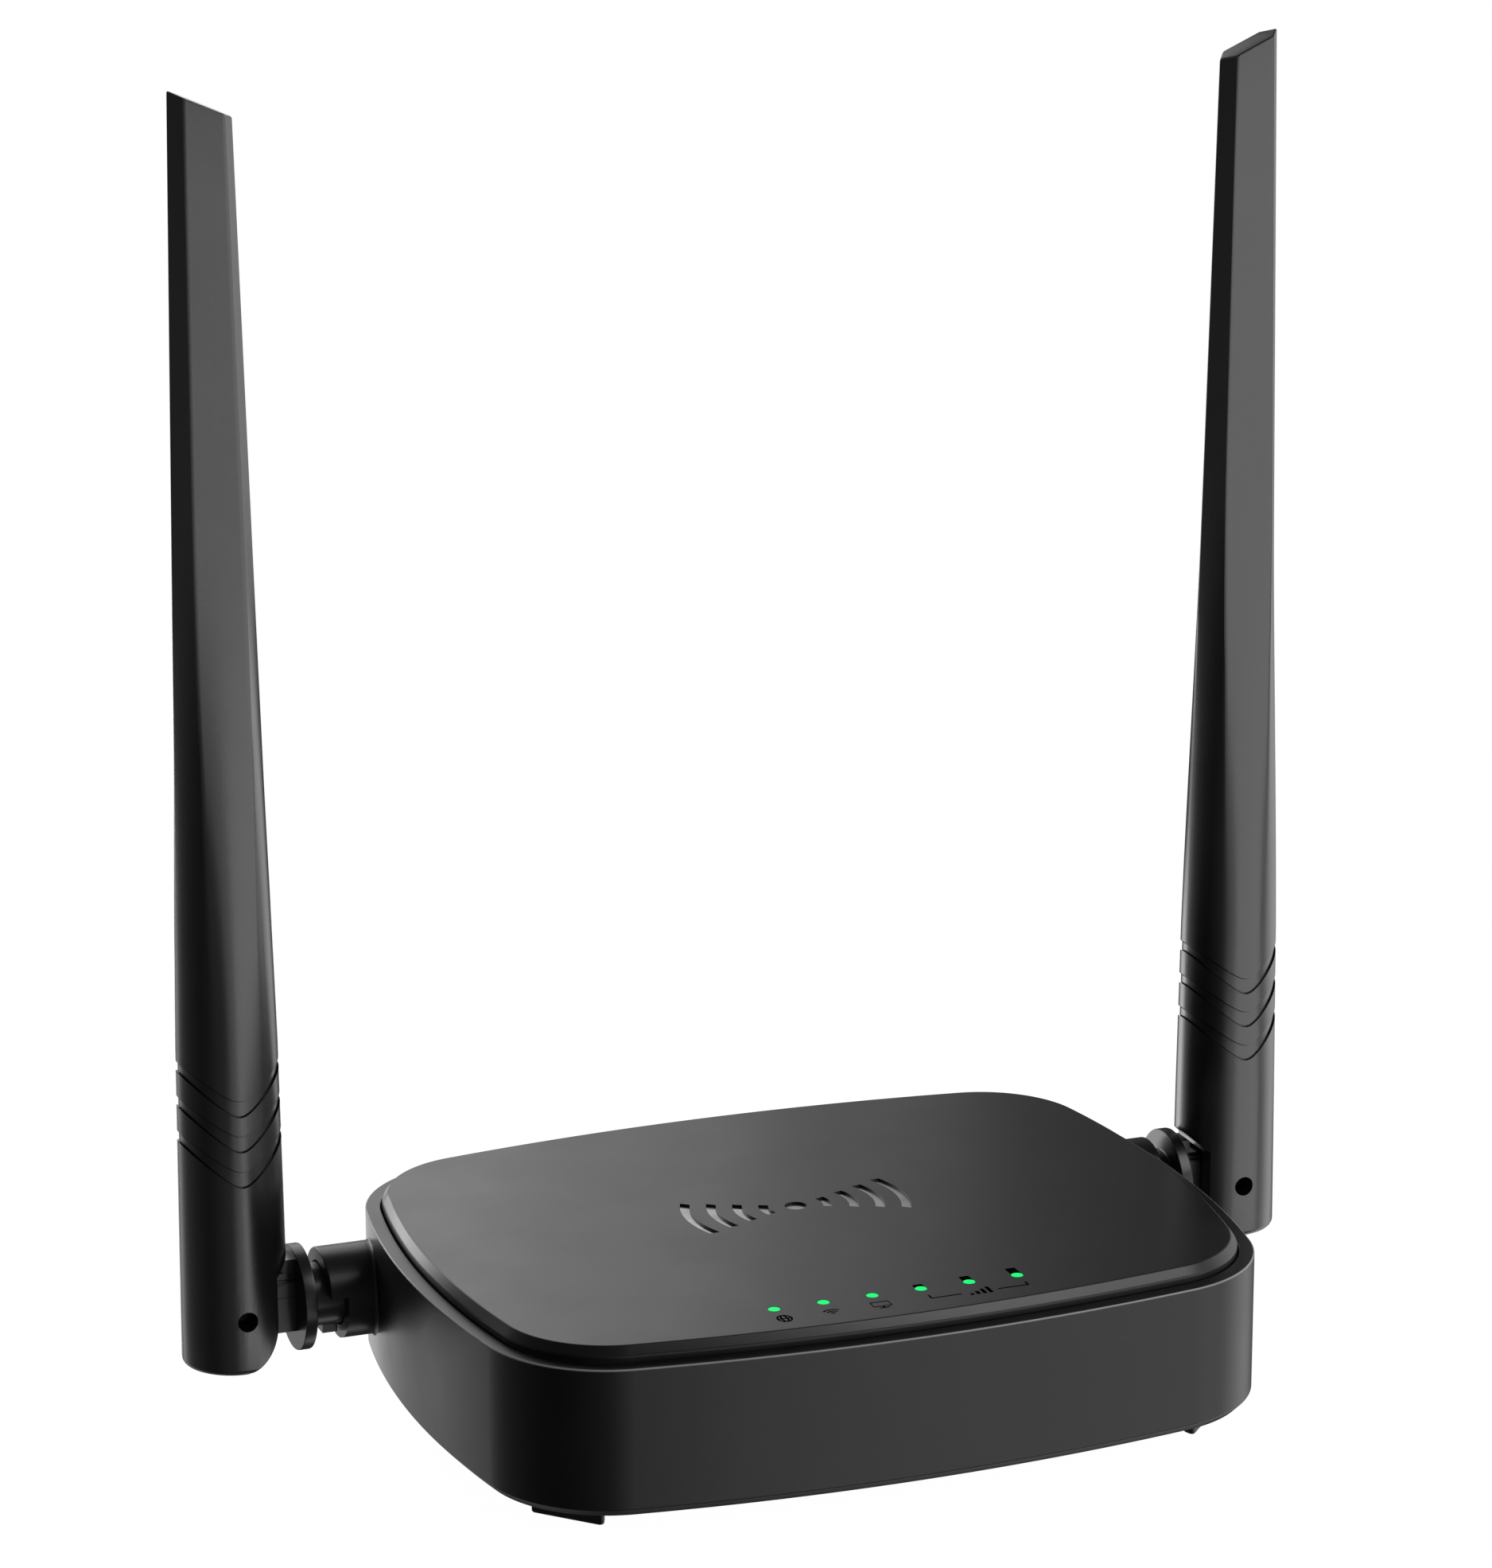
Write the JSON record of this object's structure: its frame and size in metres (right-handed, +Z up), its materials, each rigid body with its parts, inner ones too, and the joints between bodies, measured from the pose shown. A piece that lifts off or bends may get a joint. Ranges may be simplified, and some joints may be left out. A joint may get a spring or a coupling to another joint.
{
  "type": "wireless router",
  "caption": "Compact desktop wireless router with a raised lid, status windows, a rear port bay and a pair of tall blade antennas that swivel and tilt.",
  "frame": {"origin": "centre of the object's box in plan, on the surface that the feet stand on", "axes": "+X to the right seen from the front, +Y from the front with the lights to the rear with the ports, +Z up along the upright antennas"},
  "size_m": [0.183, 0.0988, 0.2013],
  "materials": {
    "shell_plastic": "satin moulded charcoal ABS",
    "lid_plastic": "fine-grained satin charcoal ABS",
    "antenna_plastic": "satin moulded black ABS",
    "button_plastic": "satin moulded black ABS",
    "light_lens": "translucent light guide lit green",
    "foot_rubber": "matt black rubber",
    "screw_steel": "zinc plated",
    "tin_plate": "satin tinned sheet",
    "contact_brass": "gold flashed",
    "circuit_laminate": "green solder mask",
    "chip_black": "matt epoxy",
    "port_plastic": "moulded black nylon",
    "lead_sleeve": "thin grey coaxial jacket"
  },
  "bodies": {
    "housing": {"base_shell": "shell_plastic", "top_cover": "lid_plastic", "light_guide": "light_lens", "foot_front_left": "foot_rubber", "foot_front_right": "foot_rubber", "foot_rear_left": "foot_rubber", "foot_rear_right": "foot_rubber", "case_screw_1": "screw_steel", "case_screw_2": "screw_steel", "case_screw_3": "screw_steel", "case_screw_4": "screw_steel", "main_board": "circuit_laminate", "board_screw_1": "screw_steel", "board_screw_2": "screw_steel", "board_screw_3": "screw_steel", "board_screw_4": "screw_steel", "wan_port": "port_plastic", "lan_port": "port_plastic", "power_jack": "port_plastic", "power_jack_pin": "screw_steel", "wps_switch": "chip_black", "sim_socket": "tin_plate", "wifi_shield": "tin_plate", "modem_module": "tin_plate", "wan_magnetics": "chip_black", "lan_magnetics": "chip_black", "memory_chip": "chip_black", "flash_chip": "chip_black", "power_inductor": "chip_black", "capacitor_1": "tin_plate", "capacitor_2": "tin_plate", "led_1": "light_lens", "led_2": "light_lens", "led_3": "light_lens", "led_4": "light_lens", "led_5": "light_lens", "led_6": "light_lens", "left_aerial_connector": "contact_brass", "right_aerial_connector": "contact_brass", "left_aerial_lead": "lead_sleeve", "right_aerial_lead": "lead_sleeve"},
    "wps_button": {"wps_button": "button_plastic"},
    "left_knuckle": {"left_knuckle": "antenna_plastic"},
    "left_antenna": {"left_antenna_cover": "antenna_plastic", "left_hinge_pin": "screw_steel", "left_radiator": "circuit_laminate", "left_radiator_lead": "lead_sleeve"},
    "right_knuckle": {"right_knuckle": "antenna_plastic"},
    "right_antenna": {"right_antenna_cover": "antenna_plastic", "right_hinge_pin": "screw_steel", "right_radiator": "circuit_laminate", "right_radiator_lead": "lead_sleeve"}
  },
  "joints": [
    {"name": "left_antenna_swivel", "type": "hinge", "parent": "housing", "child": "left_knuckle", "pos_m": [-0.0699, 0.02577, 0.01538], "axis": [1, 0, 0], "range_deg": [-90, 90]},
    {"name": "left_antenna_tilt", "type": "hinge", "parent": "left_knuckle", "child": "left_antenna", "pos_m": [-0.0833, 0.02577, 0.01538], "axis": [0, -1, 0], "range_deg": [0, 90]},
    {"name": "right_antenna_swivel", "type": "hinge", "parent": "housing", "child": "right_knuckle", "pos_m": [0.0699, 0.02577, 0.01538], "axis": [1, 0, 0], "range_deg": [-90, 90]},
    {"name": "right_antenna_tilt", "type": "hinge", "parent": "right_knuckle", "child": "right_antenna", "pos_m": [0.0833, 0.02577, 0.01538], "axis": [0, 1, 0], "range_deg": [0, 90]},
    {"name": "wps_button_press", "type": "slide", "parent": "housing", "child": "wps_button", "axis": [0, -1, 0], "range_m": [0, 0.0006], "stiffness_N_per_m": 800}
  ]
}
